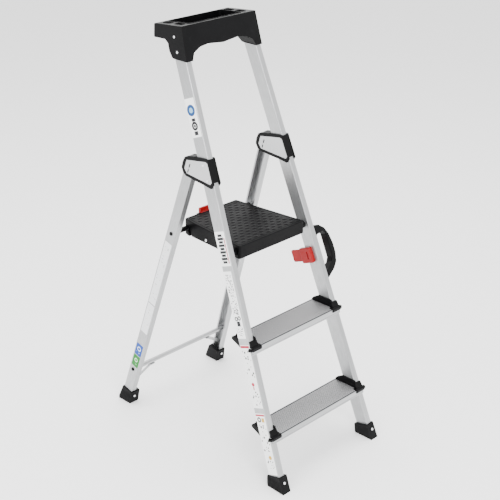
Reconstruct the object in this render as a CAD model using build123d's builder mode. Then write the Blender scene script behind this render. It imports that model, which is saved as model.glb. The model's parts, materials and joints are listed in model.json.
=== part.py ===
from build123d import *

import os
from math import atan, cos, sin, sqrt

# A folding step ladder: front frame with two treads and a tool tray, rear frame, hinged platform.
# All sizes in millimetres. +X to the ladder's right, +Y from the front treads to the rear legs, +Z up.

# ------------------------------------------------------------------ driving dimensions
mid_x = -14.97              # the ladder's mid-plane: the side handle moves the box's centre off it
base_y = -379.8             # where the front faces of the stiles would meet the floor

# Front frame: box-section stiles that lean back and lean in
stile_rise = 0.3882         # backward lean, y per z
stile_taper = 0.0511        # inward lean, x per unit of length
stile_foot_half = 217.8     # half of the outer width at the floor
stile_depth = 45.3
stile_width = 21.1
stile_wall = 1.8
stile_corner = 2.6
stile_ends = (24.0, 1368.0)         # measured along the stile

# Rear frame: channel-section legs that lean forward and lean in
leg_rise = 0.3205
leg_foot_y = 737.5          # centre line of the leg at the floor
leg_foot_half = 217.3
leg_depth = 36.9
leg_width = 19.6
leg_wall = 1.8
leg_lip = 5.0
leg_top_overlap = 27.0      # length of leg above the hinge
leg_bottom = 12.0

# Joints, as (y, z) in the ladder's side view
hinge = (447.5, 903.0)
axle = (287.0, 676.0)
upper_bar = (522.0, 672.4)
lower_bar = (697.0, 135.0)
latch_pivot = (541.0, 688.0)

# Treads
tread_tops = {"lower": 166.5, "upper": 423.6}
tread_depth = 98.7
nose_overhang = 11.9        # in front of the stiles
nose_height = 21.8
tread_plate = 2.4
rib_height = 0.9
rib_width = 1.7
rib_pitch = 4.6

# Platform
deck_top = 700.0
deck_front, deck_rear = 264.1, 535.0
deck_front_half, deck_rear_half = 140.5, 111.0
deck_front_skirt, deck_rear_skirt = 40.5, 50.4
deck_wall = 3.0
axle_radius = 8.0
bar_radius = 8.0
running_fit = 0.05

os.makedirs("parts", exist_ok=True)

# ------------------------------------------------------------------ reference planes
lean, leg_lean = atan(stile_rise), atan(leg_rise)
mid_plane = Plane(origin=(mid_x, 0, 0), z_dir=(1, 0, 0))


def side(x):
    """Side view at a distance x from the mid-plane: sketch in (y, z), extrude towards +X."""
    return Plane(origin=(mid_x + x, base_y, 0), x_dir=(0, 1, 0), z_dir=(1, 0, 0))


def plan(z):
    """Plan view at height z: sketch in (x, y), extrude upwards."""
    return Plane(origin=(mid_x, base_y, z))


# Outer face of the right stile: x rearwards from the front face, y up along the stile.
stile_face = Plane(
    origin=(mid_x + stile_foot_half, base_y, 0),
    x_dir=(0, cos(lean), -sin(lean)),
    z_dir=(1, stile_taper * sin(lean), stile_taper * cos(lean)),
)
stile_inner_face = stile_face.offset(-stile_width)

# Outer face of the right rear leg: x rearwards from the centre line, y up along the leg.
leg_reach = (hinge[1] / cos(leg_lean))
leg_hinge_half = 165.7
leg_taper = (leg_foot_half - leg_hinge_half) / leg_reach
leg_stretch = sqrt(1 + leg_taper ** 2)
leg_face = Plane(
    origin=(mid_x + leg_foot_half, base_y + leg_foot_y, 0),
    x_dir=(0, cos(leg_lean), sin(leg_lean)),
    z_dir=(1, -leg_taper * sin(leg_lean), leg_taper * cos(leg_lean)),
)


def on_face(face, y, z):
    """A side-view point, carried along X onto a face, in that face's own coordinates."""
    point = Vector(0, base_y + y, z)
    reach = (face.origin - point).dot(face.z_dir) / face.z_dir.X
    local = face.to_local_coords(point + Vector(reach, 0, 0))
    return (local.X, local.Y)


def across(face, along):
    """Plane square to a stile or leg, at a length along its face plane."""
    origin = face.from_local_coords((0, along, 0))
    return Plane(origin=origin, x_dir=face.x_dir, z_dir=face.y_dir)


def stile_front(z):
    return stile_rise * z


def stile_outer(y, z):
    """Distance of the stile's outer face from the mid-plane at a side-view point."""
    return stile_foot_half - stile_taper * (y * sin(lean) + z * cos(lean))


def leg_outer(z):
    return leg_foot_half - leg_taper * z / cos(leg_lean)


def deck_half(y):
    """Half width of the platform at a distance y."""
    share = (y - deck_front) / (deck_rear - deck_front)
    return deck_front_half + share * (deck_rear_half - deck_front_half)


# ------------------------------------------------------------------ helpers
finished = []
dome = 0.85                 # share of a rivet head's height that is rounded


def save(body, name):
    """Label a finished piece and write it."""
    body.part.label = name
    export_step(body.part, f"parts/{name}.step")
    finished.append(body.part)


def mirrored(body):
    """The same piece for the ladder's left side."""
    with BuildPart() as twin:
        mirror(body.part, about=mid_plane)
    return twin


def save_pair(body, name):
    save(body, f"{name}_right")
    save(mirrored(body), f"{name}_left")


def pair_group(body):
    """A piece and its mirror image together, as separate solids of one node."""
    with BuildPart() as group:
        add(body.part)
        mirror(body.part, about=mid_plane)
    return group


def heads(plane, points, radius, height):
    """Domed rivet heads that stand on a plane."""
    with BuildPart() as group:
        with BuildSketch(plane):
            with Locations(*points):
                Circle(radius)
        extrude(amount=height)
        normal = Axis(plane.origin, plane.z_dir)
        fillet(group.edges().group_by(normal)[-1], dome * height)
    return group


def rod(x_from, x_to, centre, radius, bore=0.0):
    """Round bar or tube along X."""
    with BuildPart() as bar:
        with BuildSketch(side(x_from)):
            with Locations(centre):
                Circle(radius)
                if bore:
                    Circle(bore, mode=Mode.SUBTRACT)
        extrude(amount=x_to - x_from)
    return bar


# ------------------------------------------------------------------ stiles
stile_length = stile_ends[1] - stile_ends[0]
axle_seat_depth = 12.0      # room for the platform axle inside the stile
axle_reach = 8.0            # how far the axle reaches past the stile's wall

with BuildPart() as stile_space:
    with BuildSketch(across(stile_face, stile_ends[0])):
        with Locations((stile_depth / 2, stile_width / 2)):
            RectangleRounded(stile_depth, stile_width, stile_corner)
    extrude(amount=stile_length)

with BuildPart() as stile_right:
    with BuildSketch(across(stile_face, stile_ends[0])):
        with Locations((stile_depth / 2, stile_width / 2)):
            RectangleRounded(stile_depth, stile_width, stile_corner)
            RectangleRounded(
                stile_depth - 2 * stile_wall,
                stile_width - 2 * stile_wall,
                stile_corner - stile_wall / 2,
                mode=Mode.SUBTRACT,
            )
    extrude(amount=stile_length)
    axle_wall_x = stile_outer(*axle) - stile_width
    with BuildSketch(side(axle_wall_x - axle_seat_depth)):
        with Locations(axle):
            Circle(axle_radius)
    extrude(amount=1.5 * axle_seat_depth, mode=Mode.SUBTRACT)
save_pair(stile_right, "stile")


# ------------------------------------------------------------------ treads
nose_wall = 2.4
nose_lip = 7.0
nose_rounding = 1.9
rear_skirt = 14.0
stiffener_drop = 8.0
far = 160.0                 # longer than any tread corner that is cut away


def beyond_stile(top):
    """Space taken by the right stile and all that lies outside it, at a tread."""
    middle = on_face(stile_face, stile_front(top), top)
    with BuildPart() as space:
        with BuildSketch(stile_inner_face):
            with Locations(middle):
                Rectangle(far, far, align=(Align.MIN, Align.CENTER))
        extrude(amount=far)
        with BuildSketch(stile_face):
            with Locations(middle):
                Rectangle(far, far)
        extrude(amount=far)
    return space.part


def tread(top):
    """Aluminium extrusion with a ribbed top, notched around both stiles."""
    nose = stile_front(top) - nose_overhang
    plate_top = top - rib_height
    rib_count = int((tread_depth - 2 * rib_pitch) / rib_pitch)
    with BuildPart() as body:
        with BuildSketch(side(0)):
            with Locations((nose, plate_top)):
                Rectangle(tread_depth, tread_plate, align=(Align.MIN, Align.MAX))
                Rectangle(nose_wall, nose_height - rib_height, align=(Align.MIN, Align.MAX))
            with Locations((nose, top - nose_height)):
                Rectangle(nose_lip, nose_wall, align=(Align.MIN, Align.MIN))
            with Locations((nose + tread_depth, plate_top)):
                Rectangle(nose_wall, rear_skirt, align=(Align.MAX, Align.MAX))
            with Locations((nose + tread_depth / 3, plate_top), (nose + tread_depth * 2 / 3, plate_top)):
                Rectangle(nose_wall, stiffener_drop, align=(Align.CENTER, Align.MAX))
            with Locations(*[(nose + rib_pitch * (i + 1.5), plate_top) for i in range(rib_count)]):
                Rectangle(rib_width, rib_height, align=(Align.CENTER, Align.MIN))
        extrude(amount=stile_foot_half, both=True)
        nose_edges = body.edges().filter_by(Axis.X).group_by(Axis.Y)[0]
        fillet(nose_edges.sort_by(Axis.Z)[-1], nose_rounding)
        add(beyond_stile(top), mode=Mode.SUBTRACT)
        mirror(beyond_stile(top), about=mid_plane, mode=Mode.SUBTRACT)
    return body


# Plastic caps at both ends of each tread: a wall along the stile, a hood over the nose, a wing and
# a buffer lobe behind the stile, against which the rear leg folds.
cap_wall = 4.0
cap_outline = [(-6, 0.3), (4, 26), (56, 25), (76, 13), (83, 6), (83, 0.3)]     # from the stile's front, up
hood_thickness = 3.0
hood_chamfer = 1.0
hood_drop = 9.0
hood_reach = 14.0           # inwards from the stile's inner face
hood_outside = 1.5          # past the stile's outer face
tab_reach = 7.0
tab_height = 17.0
tab_thickness = 4.0
tab_root = 6.0
lobe_margin = 4.5           # lobe ends this far inside the stile's outer face
lobe_drop = 22.0
lobe_reach = 83.0           # behind the stile's front
lobe_depth = 5.0
wing_outline = [(0, -3), (6, -2), (11, 3), (11, 9), (3, 13), (1.3, 7), (0, 4)]
wing_start = 0.9            # outside the stile's outer face
wing_low, wing_height = 7.0, 6.0


def tread_cap(top):
    front = stile_front(top)
    nose = front - nose_overhang
    rear = front + stile_depth / cos(lean)
    outer = stile_outer(front, top)
    inner = outer - stile_width
    lobe = [(rear + stile_rise * hood_thickness, top + hood_thickness),
            (front + lobe_reach, top + hood_thickness), (front + lobe_reach, top - lobe_depth),
            (rear - stile_rise * lobe_drop, top - lobe_drop)]
    hood = [(nose - hood_thickness, top - hood_drop), (nose, top - hood_drop), (nose, top),
            (front, top), (front + stile_rise * hood_thickness, top + hood_thickness),
            (nose + hood_chamfer, top + hood_thickness), (nose - hood_thickness, top - hood_chamfer)]
    tab_top = stile_front(top + tab_height)
    tab = [(nose + tab_thickness, top), (front, top), (tab_top, top + tab_height),
           (tab_top - tab_thickness, top + tab_height), (front - tab_root, top + 2 * hood_thickness)]
    with BuildPart() as cap:
        with BuildSketch(stile_inner_face):
            Polygon(*[on_face(stile_inner_face, front + y, top + z) for y, z in cap_outline], align=None)
        extrude(amount=-cap_wall)
        with BuildSketch(stile_inner_face):
            Polygon(*[on_face(stile_inner_face, y, z) for y, z in lobe], align=None)
        extrude(amount=stile_width - lobe_margin)
        with BuildSketch(side(inner - hood_reach)):
            Polygon(*hood, align=None)
        extrude(amount=stile_width + hood_reach + hood_outside)
        with BuildSketch(side(inner - tab_reach)):
            Polygon(*tab, align=None)
        extrude(amount=stile_width + tab_reach)
        with BuildSketch(plan(top - wing_low)):
            Polygon(*[(outer + wing_start + x, nose + y) for x, y in wing_outline], align=None)
        extrude(amount=wing_height)
    return cap


for level, top in tread_tops.items():
    save(tread(top), f"tread_{level}")
    save_pair(tread_cap(top), f"tread_cap_{level}")


# ------------------------------------------------------------------ hinge housings at the top
cheek = 4.6
plate_recess = 1.4
plate_thickness = 1.0
cover_rounding = 3.5
band = 3.0
back_web = 3.7
slot_mark_width = 4.5
cover_rivet = (3.8, 1.5)    # head radius and height
pocket = (143.8, 168.4)     # room for the leg, as distances from the mid-plane
pin_radius = 4.0
cover_outline = [(366, 951), (398, 948), (453, 939.5), (464, 934), (473, 917), (477, 899),
                 (470, 885), (458, 877.5), (416, 873), (377, 870), (346, 866), (337, 880)]
plate_outline = [(374, 941), (366, 938), (345, 886), (351, 878), (454, 886), (465, 899), (456, 927)]
slot_mark = ((440.8, 917.0), (450.0, 891.0))
plate_rivets = [(384.9, 927.2), (365.0, 885.9)]
cover_front = (884.0, 949.0)        # heights of the band across the stile's front
cover_lid = [(417, 945.9), (453, 939.6), (453, 937.4), (417, 942.6)]
leg_room = 60.0
outer_seat = stile_face.offset(cheek - plate_recess)
inner_seat = stile_inner_face.offset(plate_recess - cheek)

with BuildPart() as housing_right:
    for plane, amount in ((stile_face, cheek), (stile_inner_face, -cheek)):
        with BuildSketch(plane) as outline:
            Polygon(*[on_face(plane, *point) for point in cover_outline], align=None)
            fillet(outline.vertices(), cover_rounding)
        extrude(amount=amount)
    with BuildSketch(side(pocket[0])):
        web_back = stile_depth + back_web
        corners = [(web_back, 0), (web_back + far, 0), (web_back + far, 2 * far), (web_back, 2 * far)]
        start = on_face(stile_face, *hinge)[1] - far
        Polygon(*[(u * cos(lean) + (start + t) * sin(lean), (start + t) * cos(lean) - u * sin(lean))
                  for u, t in corners], align=None)
    extrude(amount=pocket[1] - pocket[0], mode=Mode.SUBTRACT)
    inset = cheek - plate_recess
    with BuildSketch(stile_face.offset(inset)):
        low = on_face(stile_face, stile_front(cover_front[0]), cover_front[0])[1]
        high = on_face(stile_face, stile_front(cover_front[1]), cover_front[1])[1]
        with Locations((-band, (low + high) / 2)):
            Rectangle(band, high - low, align=(Align.MIN, Align.CENTER))
        with Locations((stile_depth, on_face(stile_face, *hinge)[1])):
            Rectangle(back_web, leg_room, align=(Align.MIN, Align.CENTER))
        Polygon(*[on_face(stile_face, *point) for point in cover_lid], align=None)
    extrude(amount=-(stile_width + 2 * inset))
    for plane, amount in ((outer_seat, plate_recess), (inner_seat, -plate_recess)):
        with BuildSketch(plane):
            Polygon(*[on_face(plane, *point) for point in plate_outline], align=None)
        extrude(amount=amount, mode=Mode.SUBTRACT)
    with BuildSketch(side(pocket[0] - far / 2)):
        with Locations(hinge):
            Circle(pin_radius)
    extrude(amount=far, mode=Mode.SUBTRACT)
save_pair(housing_right, "hinge_housing")


def hinge_plate(plane, amount):
    """Bright plate let into a cheek, with a slot mark over the pin."""
    start, end = [on_face(plane, *point) for point in slot_mark]
    middle = ((start[0] + end[0]) / 2, (start[1] + end[1]) / 2)
    with BuildPart() as plate:
        with BuildSketch(plane):
            Polygon(*[on_face(plane, *point) for point in plate_outline], align=None)
            with Locations(middle):
                half = (end[0] - middle[0], end[1] - middle[1])
                SlotCenterPoint((0, 0), half, slot_mark_width, mode=Mode.SUBTRACT)
        extrude(amount=amount)
    return plate


save_pair(hinge_plate(outer_seat, plate_thickness), "hinge_plate_outer")
save_pair(hinge_plate(inner_seat, -plate_thickness), "hinge_plate_inner")

rivet_points = [on_face(stile_face, *point) for point in plate_rivets]
save(pair_group(heads(outer_seat.offset(plate_thickness), rivet_points, *cover_rivet)), "hinge_rivets")

pin_ends = (142.6, 169.2)
save_pair(rod(*pin_ends, hinge, pin_radius), "hinge_pin")

# ------------------------------------------------------------------ tool tray
tray_profile = [(491, 1311), (610, 1301), (610, 1261), (561, 1263), (548, 1254), (541, 1232),
                (528, 1215), (520, 1213), (466, 1213)]
tray_side = 2.5             # tray wall outside the stile
tray_arch = [(-127, 1200), (-127, 1216), (-118, 1234), (-92, 1246), (-60, 1250), (0, 1244),
             (60, 1250), (92, 1246), (118, 1234), (127, 1216), (127, 1200)]
tray_under = [(470, 1200), (488.5, 1274), (604, 1274), (604, 1200)]
tray_under_half = 116.0
recess_half, recess_front, recess_rear = 104.0, 505.0, 597.0
recess_floor = 1279.0
slot_half_width, slot_length = 8.0, 30.0
slot_places = [(122.0, 527.0), (122.0, 577.0)]
arch_rounding, rear_rounding, recess_rounding, slot_rounding = 28.0, 4.0, 8.0, 4.0
tray_rivet = (3.8, 1.6)

with BuildPart() as beyond_tray:
    with BuildSketch(stile_face.offset(tray_side)):
        with Locations(on_face(stile_face, 538, 1262)):
            Rectangle(2 * far, 2 * far)
    extrude(amount=far)

with BuildPart() as tool_tray:
    with BuildSketch(side(0)) as tray_side_view:
        Polygon(*tray_profile, align=None)
        fillet(tray_side_view.vertices().group_by(Axis.X)[-1], rear_rounding)
    extrude(amount=far, both=True)
    add(beyond_tray.part, mode=Mode.SUBTRACT)
    mirror(beyond_tray.part, about=mid_plane, mode=Mode.SUBTRACT)
    ahead = base_y + tray_under[0][0] - far / 2
    front_view = Plane(origin=(mid_x, ahead, 0), x_dir=(1, 0, 0), z_dir=(0, -1, 0))
    with BuildSketch(front_view) as arch_view:
        Polygon(*tray_arch, align=None)
        for level in arch_view.vertices().group_by(Axis.Z)[1:]:
            fillet(level, arch_rounding)
    extrude(amount=-2 * far, mode=Mode.SUBTRACT)
    with BuildSketch(side(-tray_under_half)):
        Polygon(*tray_under, align=None)
    extrude(amount=2 * tray_under_half, mode=Mode.SUBTRACT)
    with BuildSketch(plan(recess_floor)):
        with Locations((0, (recess_front + recess_rear) / 2)):
            RectangleRounded(2 * recess_half, recess_rear - recess_front, recess_rounding)
        with Locations(*slot_places, *[(-x, y) for x, y in slot_places]):
            RectangleRounded(2 * slot_half_width, slot_length, slot_rounding)
    extrude(amount=far, mode=Mode.SUBTRACT)
    add(stile_space.part, mode=Mode.SUBTRACT)
    mirror(stile_space.part, about=mid_plane, mode=Mode.SUBTRACT)
save(tool_tray, "tool_tray")

tray_rivets = [on_face(stile_face, 521, 1276), on_face(stile_face, 507, 1234)]
save(pair_group(heads(stile_face.offset(tray_side), tray_rivets, *tray_rivet)), "tray_rivets")

# ------------------------------------------------------------------ carry handle and folding catch
grip_depth = 29.0
grip_offset = 18.0          # grip's middle, behind the stile's front face
grip_foot = 528.0           # lower end of the handle along the stile
grip_outline = [(0, 18), (7, 19), (40, 37), (57, 54), (65.5, 83), (65.5, 115), (59, 148), (47, 172),
                (27, 188), (0, 193)]
grip_rounding, gap_rounding, rim_rounding = 20.0, 6.0, 4.0
finger_gap = [(5, 40), (38, 62), (46.5, 74), (46.5, 152), (38, 163), (5, 161)]
grip_flange = (20.0, 215.0, 4.0)    # width, length and thickness against the stile
grip_middle = (grip_offset, grip_foot + 105.5)
grip_plane = Plane(
    origin=stile_face.from_local_coords((grip_offset, grip_foot, 0)),
    x_dir=stile_face.z_dir,
    z_dir=-stile_face.x_dir,
)

with BuildPart() as carry_handle:
    with BuildSketch(grip_plane) as grip_view:
        Polygon(*grip_outline, align=None)
        outer_corners = [corner for corner in grip_view.vertices()
                         if stile_face.to_local_coords(corner.center()).Z > 1]
        fillet(outer_corners, grip_rounding)
    extrude(amount=grip_depth / 2, both=True)
    with BuildSketch(grip_plane) as gap_view:
        Polygon(*finger_gap, align=None)
        fillet(gap_view.vertices(), gap_rounding)
    extrude(amount=grip_depth, both=True, mode=Mode.SUBTRACT)
    rims = carry_handle.edges().group_by(Axis(grip_plane.origin, grip_plane.z_dir))
    fillet([edge for edge in rims[0] + rims[-1]
            if edge.length > 1 and stile_face.to_local_coords(edge.center()).Z > 3], rim_rounding)
    with BuildSketch(stile_face):
        with Locations(grip_middle):
            SlotOverall(grip_flange[1], grip_flange[0], rotation=90)
    extrude(amount=grip_flange[2])
save(carry_handle, "carry_handle")

screw_head = (4.2, 2.0)
screw_reach = grip_flange[1] / 2 - 2 * screw_head[0]
screw_points = [(grip_offset, grip_middle[1] - screw_reach), (grip_offset, grip_middle[1] + screw_reach)]
save(heads(stile_face.offset(grip_flange[2]), screw_points, *screw_head), "handle_screws")

catch_middle = (38.0, 635.0)
catch_size = (46.0, 50.0, 12.0)
catch_rounding, catch_edge = 4.0, 2.0
tongue_room = (8.5, 2.0)    # depth and spare width of the gap for the tongue
thumb_slot = (26.0, 5.0, 4.0)
thumb_slot_at = 31.0
tongue_rounding, knuckle_radius = 6.0, 3.2
tongue_size = (56.0, 40.0, 3.0)
tongue_start = 48.0
tongue_gap = (2.5, 5.5)     # tongue's two faces, inwards of the stile's inner face
bead_start, bead_size = 91.0, (6.0, 26.0, 4.5)
catch_pin_radius, catch_pin_half = 1.6, 23.0
catch_pin_at = (54.0, 4.0)  # behind the front face, inwards of the inner face
pin_line = Plane(
    origin=stile_inner_face.from_local_coords((catch_pin_at[0], catch_middle[1], -catch_pin_at[1])),
    x_dir=stile_face.x_dir,
    z_dir=stile_face.y_dir,
)

with BuildPart() as catch_base:
    with BuildSketch(stile_inner_face):
        with Locations(catch_middle):
            RectangleRounded(catch_size[0], catch_size[1], catch_rounding)
    extrude(amount=-catch_size[2])
    front_edges = catch_base.edges().group_by(Axis(stile_inner_face.origin, stile_face.z_dir))[0]
    fillet(front_edges, catch_edge)
    with BuildSketch(stile_inner_face):
        with Locations((tongue_start - tongue_room[1], catch_middle[1])):
            Rectangle(far, tongue_size[1] + tongue_room[1], align=(Align.MIN, Align.CENTER))
    extrude(amount=-tongue_room[0], mode=Mode.SUBTRACT)
    with BuildSketch(stile_inner_face.offset(-catch_size[2])):
        with Locations((thumb_slot_at, catch_middle[1])):
            SlotOverall(thumb_slot[0], thumb_slot[1], rotation=90)
    extrude(amount=thumb_slot[2], mode=Mode.SUBTRACT)
    with BuildSketch(pin_line):
        Circle(catch_pin_radius)
    extrude(amount=catch_pin_half, both=True, mode=Mode.SUBTRACT)
save(catch_base, "catch_base")

with BuildPart() as catch_tongue:
    with BuildSketch(stile_inner_face.offset(-tongue_gap[0])) as tongue_view:
        with Locations((tongue_start, catch_middle[1])):
            Rectangle(tongue_size[0], tongue_size[1], align=(Align.MIN, Align.CENTER))
        fillet(tongue_view.vertices().group_by(Axis.X)[-1], tongue_rounding)
    extrude(amount=-tongue_size[2])
    with BuildSketch(stile_inner_face.offset(-tongue_gap[1])):
        with Locations((bead_start, catch_middle[1])):
            Rectangle(bead_size[0], bead_size[1], align=(Align.MIN, Align.CENTER))
    extrude(amount=bead_size[2])
    with BuildSketch(pin_line):
        Circle(knuckle_radius)
    extrude(amount=tongue_size[1] / 2, both=True)
    with BuildSketch(pin_line):
        Circle(catch_pin_radius + running_fit)
    extrude(amount=far, both=True, mode=Mode.SUBTRACT)
save(catch_tongue, "catch_tongue")

with BuildPart() as catch_pin:
    with BuildSketch(pin_line):
        Circle(catch_pin_radius)
    extrude(amount=catch_pin_half, both=True)
save(catch_pin, "catch_pin")


# ------------------------------------------------------------------ feet
sole_groove = (3.0, 1.5)
groove_count, groove_margin = 5, 9.0
boot_corner, boot_edge = 2.5, 1.5
foot_rivet_head = (4.2, 1.8)
front_foot_outline = [(-7.6, -4), (60, -4), (64, 9), (66.5, 35), (14.8, 50)]
rear_foot_outline = [(708.8, -4), (765, -4), (765, 9), (744, 56), (699.5, 44.5), (706, 9)]


def foot(face, outline, outside, width, leg_space):
    """Boot that grips a leg: outline in side view, leg socket cut out, grooves across the sole."""
    with BuildPart() as boot:
        with BuildSketch(face.offset(outside)) as view:
            Polygon(*[on_face(face.offset(outside), *point) for point in outline], align=None)
            fillet(view.vertices(), boot_corner)
        extrude(amount=-width)
        fillet(boot.faces().sort_by(Axis.X)[-1].edges(), boot_edge)
        add(leg_space, mode=Mode.SUBTRACT)
        with BuildSketch(plan(0)):
            with Locations((0, outline[0][0])):
                Rectangle(4 * far, 2 * far)
        extrude(amount=-far, mode=Mode.SUBTRACT)
        start, end = outline[0][0] + groove_margin, outline[1][0] - groove_margin
        step = (end - start) / (groove_count - 1)
        with BuildSketch(side(0)):
            with Locations(*[(start + step * i, 0) for i in range(groove_count)]):
                Rectangle(sole_groove[0], 2 * sole_groove[1])
        extrude(amount=far * 2, mode=Mode.SUBTRACT)
    return boot


leg_length = leg_stretch * leg_reach + leg_top_overlap - leg_bottom
with BuildPart() as leg_space:
    with BuildSketch(across(leg_face, leg_bottom)):
        Rectangle(leg_depth, leg_width, align=(Align.CENTER, Align.MIN))
    extrude(amount=leg_length)

save_pair(foot(stile_face, front_foot_outline, 4.2, 31.6, stile_space.part), "foot_front")
save_pair(foot(leg_face, rear_foot_outline, 3.7, 36.0, leg_space.part), "foot_rear")


def foot_rivet(outline, foot_x, height):
    """Rivet on the front of a foot: its plane runs between the outline's first and last points."""
    (low_y, low_z), (high_y, high_z) = outline
    share = height / high_z
    normal = (0, low_z - high_z, high_y - low_y)
    spot = (mid_x + foot_x, base_y + low_y + share * (high_y - low_y), height)
    return pair_group(heads(Plane(origin=spot, x_dir=(1, 0, 0), z_dir=normal), [(0, 0)], *foot_rivet_head))


save(foot_rivet((front_foot_outline[0], front_foot_outline[-1]), 205.5, 30.0), "foot_rivets_front")
save(foot_rivet((rear_foot_outline[-1], rear_foot_outline[-2]), 203.5, 26.0), "foot_rivets_rear")

# ------------------------------------------------------------------ platform axle
axle_end = axle_wall_x + stile_wall + axle_reach
axle_wall = 1.6
spacer_radius = 12.0
spacer_gap = 0.8            # the stile's face leans, so the spacer's outer end stops short of it
spacer_start = 140.8        # just clear of the platform's side
save(rod(-axle_end, axle_end, axle, axle_radius, axle_radius - axle_wall), "platform_axle")
spacer = rod(spacer_start, axle_wall_x - spacer_gap, axle, spacer_radius, axle_radius)
save(pair_group(spacer), "axle_spacers")

# ------------------------------------------------------------------ rear frame
with BuildPart() as leg_right:
    with BuildSketch(across(leg_face, leg_bottom)):
        Rectangle(leg_depth, leg_width, align=(Align.CENTER, Align.MIN))
        inside = leg_depth - 2 * leg_wall
        with Locations((0, leg_wall)):
            Rectangle(inside, leg_width, align=(Align.CENTER, Align.MIN), mode=Mode.SUBTRACT)
        for edge, align in ((-leg_depth / 2, Align.MIN), (leg_depth / 2, Align.MAX)):
            with Locations((edge, leg_width)):
                Rectangle(leg_lip, leg_wall, align=(align, Align.MAX))
    extrude(amount=leg_length)
    with BuildSketch(side(leg_hinge_half - leg_wall - 2)):
        with Locations(hinge):
            Circle(pin_radius + running_fit)
    extrude(amount=2 * leg_wall + 2, mode=Mode.SUBTRACT)
save_pair(leg_right, "leg")

web_gap = 0.9               # square tube and bush ends stop short of the sloping webs
bush_start = 146.6
bush = rod(bush_start, leg_hinge_half - leg_wall - web_gap, hinge, 7.5, pin_radius + running_fit)
save(pair_group(bush), "hinge_bushes")

upper_web = leg_outer(upper_bar[1]) - leg_wall - web_gap
lower_web = leg_outer(lower_bar[1]) - leg_wall - web_gap
sleeve_half = leg_outer(upper_bar[1]) - leg_width - 0.6
fin_x = (107.0, 118.0)      # fins that fill the platform's slots
fin = [(-7.4, -1), (7.4, -1), (-6.6, -21.2), (-17, -21.2)]
save(rod(-upper_web, upper_web, upper_bar, bar_radius - 1.5, bar_radius - 3), "cross_tube_upper")

with BuildPart() as cross_tube_sleeve:
    for x_from, x_to in (fin_x, (-fin_x[1], -fin_x[0])):
        with BuildSketch(side(x_from)):
            Polygon(*[(upper_bar[0] + y, upper_bar[1] + z) for y, z in fin], align=None)
        extrude(amount=x_to - x_from)
    with BuildSketch(side(-sleeve_half)):
        with Locations(upper_bar):
            Circle(bar_radius)
    extrude(amount=2 * sleeve_half)
    with BuildSketch(side(-sleeve_half)):
        with Locations(upper_bar):
            Circle(bar_radius - 1.5)
    extrude(amount=2 * sleeve_half, mode=Mode.SUBTRACT)
save(cross_tube_sleeve, "cross_tube_sleeve")
save(rod(-lower_web, lower_web, lower_bar, 7.5, 6.0), "cross_tube_lower")

plug_points = [on_face(leg_face, *upper_bar), on_face(leg_face, *lower_bar)]
save(pair_group(heads(leg_face, plug_points, 6.5, 3.0)), "tube_plugs")

leg_plane = Plane(
    origin=(mid_x, base_y + leg_foot_y, 0), x_dir=(1, 0, 0), z_dir=(0, -cos(leg_lean), -sin(leg_lean))
)
tube_under = on_face(leg_face, *lower_bar)[1] - 7.8
pad_low = tube_under - 4.0
stay_web = leg_outer(70) - leg_wall - 0.4
with BuildPart() as stay_right:
    with BuildSketch(leg_plane):
        Polygon((118, tube_under), (135, tube_under), (stay_web, 80), (stay_web, 66), align=None)
    extrude(amount=1.5, both=True)
    with BuildSketch(leg_plane):
        Polygon((118, tube_under), (135, tube_under), (135, pad_low), (123, pad_low), align=None)
    extrude(amount=6, both=True)
save_pair(stay_right, "stay")

# ------------------------------------------------------------------ platform
slot_width = 19.0
slot_reach = (-25.0, -42.6) # from the bar's centre to the slot's lower end
pin_hole = 2.0
lever_half = 42.5
lever_notch = 46.0
nose_notch = 34.0
rib_x, rib_drop = 48.0, 14.0
rib_middle, rib_length, rib_rows = 408.0, 160.0, (330.0, 485.0)
deck_corner, deck_edge = 7.0, 2.5
boss_ends, boss_radius = (124.0, 136.6), 13.0
deck_outline = [(-deck_front_half, deck_front), (deck_front_half, deck_front),
                (deck_rear_half, deck_rear), (-deck_rear_half, deck_rear)]
skirt_line = [(deck_front - 60, deck_top - deck_front_skirt + 2.2), (deck_front - 60, 500),
              (deck_rear + 60, 500), (deck_rear + 60, deck_top - deck_rear_skirt - 2.2)]


def bar_slot():
    """Room that the cross tube needs as it leaves the platform, in side view."""
    half = (slot_reach[0] / 2, slot_reach[1] / 2)
    with Locations((upper_bar[0] + half[0], upper_bar[1] + half[1])):
        SlotCenterPoint((0, 0), half, slot_width)


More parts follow.
